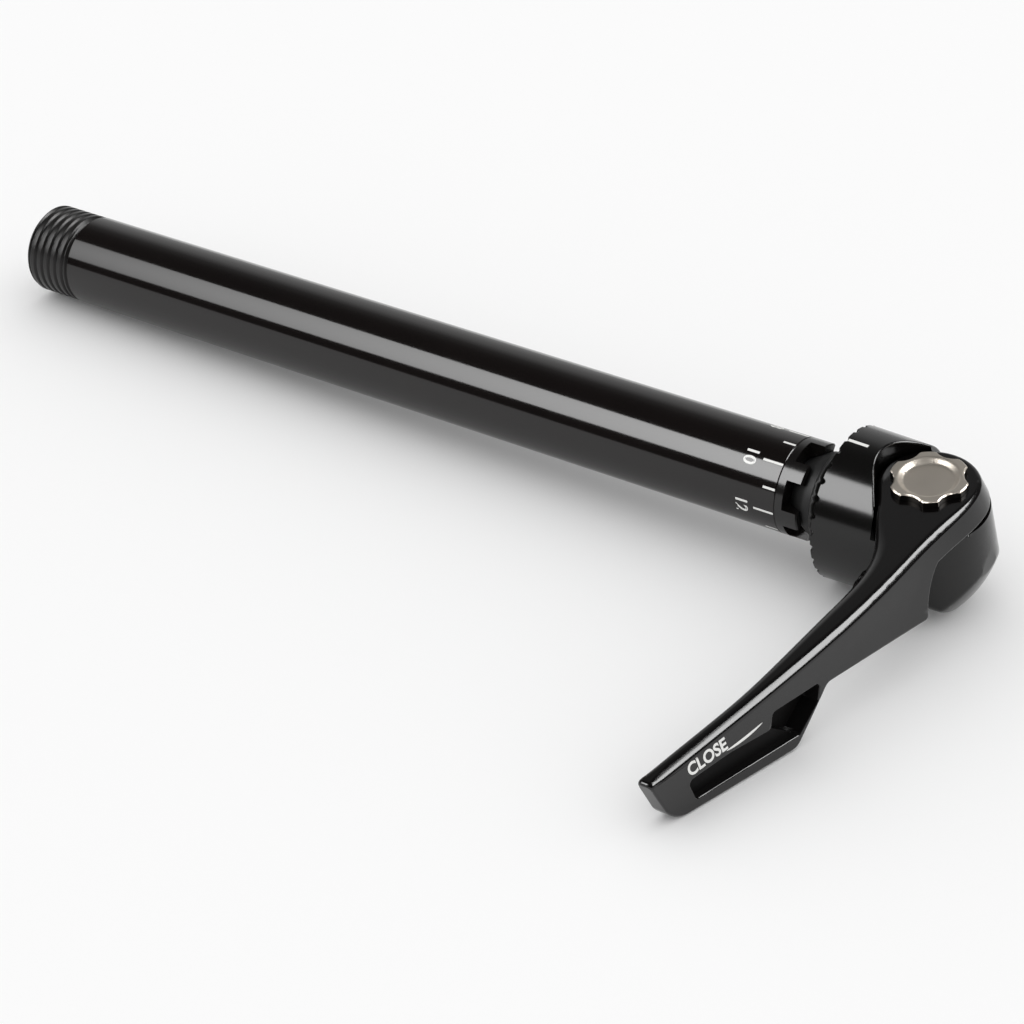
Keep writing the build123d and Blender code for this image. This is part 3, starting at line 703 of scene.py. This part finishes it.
def makeText(words, height, bold):
    # solid letters in the XY plane, one millimetre deep, millimetres
    bpy.ops.object.select_all(action="DESELECT")
    bpy.ops.object.text_add()
    text = bpy.context.object
    text.data.body = words
    text.data.size = height / lettering["capShare"]
    text.data.offset = bold
    text.data.extrude = lettering["depth"] / 2
    text.data.resolution_u = lettering["curveSteps"]
    text.data.align_x = "CENTER"
    bpy.ops.object.convert(target="MESH")
    letters = bpy.context.object
    bpy.ops.object.mode_set(mode="EDIT")
    bpy.ops.mesh.select_all(action="SELECT")
    bpy.ops.mesh.remove_doubles(threshold=lettering["merge"])
    bpy.ops.mesh.quads_convert_to_tris()
    bpy.ops.object.mode_set(mode="OBJECT")
    return letters


def wrapOnTube(piece, angle, sideways):
    for vertex in piece.data.vertices:
        raised = scale["height"] if vertex.co.z > 0 else -scale["sunk"]
        x, side = (vertex.co.y, vertex.co.x) if sideways else (vertex.co.x, vertex.co.y)
        point = onTube(angle, side, x, scale["radius"])
        outward = Vector((0.0, point.y, point.z)).normalized()
        vertex.co = point + outward * raised * mm


def makeScale():
    marks = []
    for step in range(scale["steps"]):
        angle = step * 360 // scale["steps"]
        span = scale["longTick"] if angle in scale["numerals"] else scale["shortTick"]
        tick = makeStrip(*span, scale["tickWidth"], scale["cuts"])
        wrapOnTube(tick, angle, False)
        marks.append(tick)
    for angle, words in scale["numerals"].items():
        letters = makeText(words, scale["numeralHeight"], scale["numeralBold"])
        for vertex in letters.data.vertices:
            vertex.co.y += scale["numeralBase"]
        wrapOnTube(letters, angle, True)
        marks.append(letters)
    piece = joined(marks, "clockScale")
    placeInFrame(piece)
    paint(piece, "printWhite")
    attach(piece, "axle_tube", replaced=False)


makeScale()
print("clock scale printed")

indexMark = {"start": 8.95, "end": 12.2, "width": 0.55, "sunk": 0.03, "rimRadius": 11.7, "rimAt": 8.6}


def makeIndexMark():
    piece = makeStrip(indexMark["start"], indexMark["end"], indexMark["width"], scale["cuts"])
    for vertex in piece.data.vertices:
        raised = scale["height"] if vertex.co.z > 0 else -indexMark["sunk"]
        radius = indexMark["rimRadius"] - barrel["taper"] * (vertex.co.x - indexMark["rimAt"]) + raised
        turn = vertex.co.y / radius
        vertex.co = Vector((vertex.co.x, radius * math.sin(turn), radius * math.cos(turn))) * mm
    placeInFrame(named(piece, "indexMark"))
    paint(piece, "printWhite")
    attach(piece, "cam_housing", replaced=False)


makeIndexMark()

leverPrint = {
    "words": "CLOSE", "height": 2.25, "narrow": 0.76, "bold": 0.09, "lean": -0.22, "tilt": 2.0, "cuts": 3,
    "middle": (-60.6, 4.9), "lineStart": (-57.3, 4.5), "lineEnd": (-50.4, 4.4), "lineMiddleZ": 4.2,
    "lineSteps": 24, "lineWidth": 0.5, "lineTip": 0.12, "lineSwell": 0.7,
}


def onLeverWall(y, z, raised):
    found, place, normal = leverWall(pieces["lever"], y, z)
    return place + normal * raised * mm


def makeLeverLine():
    # a bar of four sides that sags in the middle and thins towards its ends
    (startY, startZ), (endY, endZ) = leverPrint["lineStart"], leverPrint["lineEnd"]
    sagged = leverPrint["lineMiddleZ"] - (startZ + endZ) / 2
    tip = leverPrint["lineTip"]
    deep = lettering["depth"] / 2
    corners = []
    for step in range(leverPrint["lineSteps"] + 1):
        share = step / leverPrint["lineSteps"]
        y = startY + (endY - startY) * share
        sag = 4.0 * share * (1.0 - share)
        z = startZ + (endZ - startZ) * share + sagged * sag
        half = leverPrint["lineWidth"] / 2 * (tip + (1.0 - tip) * sag ** leverPrint["lineSwell"])
        corners += [(y, z - half, -deep), (y, z + half, -deep), (y, z + half, deep), (y, z - half, deep)]
    faces = [(0, 1, 2, 3)]
    for step in range(leverPrint["lineSteps"]):
        first = 4 * step
        for side in range(4):
            after = (side + 1) % 4
            faces.append((first + side, first + 4 + side, first + 4 + after, first + after))
    last = 4 * leverPrint["lineSteps"]
    faces.append((last + 3, last + 2, last + 1, last))
    return newPiece("leverLine", corners, [], faces)


def makeLeverPrint():
    letters = makeText(leverPrint["words"], leverPrint["height"], leverPrint["bold"])
    bpy.ops.object.mode_set(mode="EDIT")
    bpy.ops.mesh.select_all(action="SELECT")
    bpy.ops.mesh.subdivide(number_cuts=leverPrint["cuts"])
    bpy.ops.object.mode_set(mode="OBJECT")
    tilt = math.radians(leverPrint["tilt"])
    for vertex in letters.data.vertices:
        x = vertex.co.x * leverPrint["narrow"] + vertex.co.y * leverPrint["lean"]
        y = vertex.co.y
        vertex.co.x = leverPrint["middle"][0] + x * math.cos(tilt) + y * math.sin(tilt)
        vertex.co.y = leverPrint["middle"][1] - x * math.sin(tilt) + y * math.cos(tilt)
    piece = joined([letters, makeLeverLine()], "leverPrint")
    for vertex in piece.data.vertices:
        raised = scale["height"] if vertex.co.z > 0 else -scale["sunk"]
        vertex.co = onLeverWall(vertex.co.x, vertex.co.y, raised)
    faceOutward(piece)
    paint(piece, "printWhite")
    attach(piece, "lever", replaced=False)


makeLeverPrint()
print("index mark and lever print laid on")

# camera at the photograph's angle

view = {
    "place": (188.9, -293.2, 279.9), "lens": 105.43, "sensor": 36.0, "near": 0.01,
    "right": (0.8185, 0.5628, -0.1153), "down": (0.2823, -0.5689, -0.7724),
}


def makeCamera():
    right = Vector(view["right"]).normalized()
    down = Vector(view["down"])
    down = (down - right * down.dot(right)).normalized()
    turn = Matrix((right, -down, right.cross(-down))).transposed().to_4x4()
    turn.translation = Vector(view["place"]) * mm
    camera = bpy.data.objects.new("photoCamera", bpy.data.cameras.new("photoCamera"))
    camera.data.lens = view["lens"]
    camera.data.sensor_width = view["sensor"]
    camera.data.clip_start = view["near"]
    camera.matrix_world = axleFrame @ turn
    scene.collection.objects.link(camera)
    scene.camera = camera


makeCamera()
print("camera placed")

# pale floor, panels that only reflections see, and the world round them

studio = {
    "floorSize": 3.0, "floorColor": (0.93, 0.93, 0.93, 1.0), "floorRoughness": 0.9, "ambient": 1.05,
    "white": (1.0, 1.0, 1.0, 1.0), "back": (-0.5, 0.866, 0.0),
    "glossyStops": ((0.45, 0.06), (0.62, 0.09), (0.78, 0.22), (0.92, 0.62), (1.0, 0.64)),
}
panels = {
    "keyBox": {"toward": (-0.5, -0.509, 0.7), "aim": (-60.0, 0.0, 0.0), "distance": 0.8,
               "size": (0.66, 0.53), "low": 0.6, "high": 10.0, "full": 0.2},
    "edgeBox": {"toward": (0.656, 0.46, 0.6), "aim": (22.0, -30.0, 8.0), "distance": 0.8,
                "size": (0.77, 0.27), "low": 13.0, "high": 13.0, "full": 0.5},
}


def makeFloor():
    bpy.ops.object.select_all(action="DESELECT")
    bpy.ops.mesh.primitive_plane_add(size=studio["floorSize"])
    floor = named(bpy.context.object, "paleFloor")
    material = bpy.data.materials.new("paleFloor")
    material.use_nodes = True
    shader = material.node_tree.nodes["Principled BSDF"]
    shader.inputs["Base Color"].default_value = studio["floorColor"]
    shader.inputs["Roughness"].default_value = studio["floorRoughness"]
    shader.inputs["Specular IOR Level"].default_value = 0.0
    floor.data.materials.append(material)


def makePanel(name, look):
    toward = (axleTurn @ Vector(look["toward"])).normalized()
    sideways = (along - toward * along.dot(toward)).normalized()
    turn = Matrix((sideways, toward.cross(sideways), toward)).transposed().to_4x4()
    turn.translation = axleFrame @ (Vector(look["aim"]) * mm) + toward * look["distance"]
    bpy.ops.object.select_all(action="DESELECT")
    bpy.ops.mesh.primitive_plane_add(size=1.0)
    panel = named(bpy.context.object, name)
    panel.matrix_world = turn @ Matrix.Diagonal((*look["size"], 1.0, 1.0))
    material = bpy.data.materials.new(name)
    material.use_nodes = True
    tree = material.node_tree
    tree.nodes.clear()
    output = newNode(tree, "ShaderNodeOutputMaterial", (400, 0))
    glow = newNode(tree, "ShaderNodeEmission", (200, 0))
    coords = newNode(tree, "ShaderNodeTexCoord", (-400, 0))
    split = newNode(tree, "ShaderNodeSeparateXYZ", (-200, 0))
    ramp = newNode(tree, "ShaderNodeMapRange", (0, 0))
    ramp.inputs["From Min"].default_value = -0.5
    ramp.inputs["From Max"].default_value = look["full"]
    ramp.inputs["To Min"].default_value = look["low"]
    ramp.inputs["To Max"].default_value = look["high"]
    tree.links.new(coords.outputs["Object"], split.inputs[0])
    tree.links.new(split.outputs["X"], ramp.inputs["Value"])
    tree.links.new(ramp.outputs["Result"], glow.inputs["Strength"])
    tree.links.new(glow.outputs[0], output.inputs["Surface"])
    panel.data.materials.append(material)
    panel.visible_camera = False
    panel.visible_diffuse = False


def makeWorld():
    world = bpy.data.worlds.new("whiteStudio")
    scene.world = world
    world.use_nodes = True
    tree = world.node_tree
    tree.nodes.clear()
    output = newNode(tree, "ShaderNodeOutputWorld", (800, 0))
    backdrop = newNode(tree, "ShaderNodeBackground", (300, 200))
    seen = newNode(tree, "ShaderNodeBackground", (300, -100))
    ambient = newNode(tree, "ShaderNodeBackground", (300, -300))
    ambient.inputs["Strength"].default_value = studio["ambient"]
    path = newNode(tree, "ShaderNodeLightPath", (-100, 500))
    coords = newNode(tree, "ShaderNodeTexCoord", (-700, -100))
    toBack = newNode(tree, "ShaderNodeVectorMath", (-500, -100), operation="DOT_PRODUCT")
    toBack.inputs[1].default_value = axleTurn @ Vector(studio["back"])
    ramp = newNode(tree, "ShaderNodeValToRGB", (-250, -100))
    stops = ramp.color_ramp.elements
    while len(stops) < len(studio["glossyStops"]):
        stops.new(0.5)
    for stop, (position, level) in zip(stops, studio["glossyStops"]):
        stop.position = position
        stop.color = (level, level, level, 1.0)
    glossy = newNode(tree, "ShaderNodeMixShader", (550, -100))
    plain = newNode(tree, "ShaderNodeMixShader", (650, 100))
    link = tree.links.new
    link(coords.outputs["Generated"], toBack.inputs[0])
    link(toBack.outputs["Value"], ramp.inputs["Fac"])
    link(ramp.outputs["Color"], seen.inputs["Color"])
    link(path.outputs["Is Glossy Ray"], glossy.inputs["Fac"])
    link(ambient.outputs[0], glossy.inputs[1])
    link(seen.outputs[0], glossy.inputs[2])
    link(path.outputs["Is Camera Ray"], plain.inputs["Fac"])
    link(glossy.outputs[0], plain.inputs[1])
    link(backdrop.outputs[0], plain.inputs[2])
    link(plain.outputs[0], output.inputs["Surface"])
    backdrop.inputs["Color"].default_value = studio["white"]
    ambient.inputs["Color"].default_value = studio["white"]


makeFloor()
for panelName, panelLook in panels.items():
    makePanel(panelName, panelLook)
makeWorld()
print("studio ready")
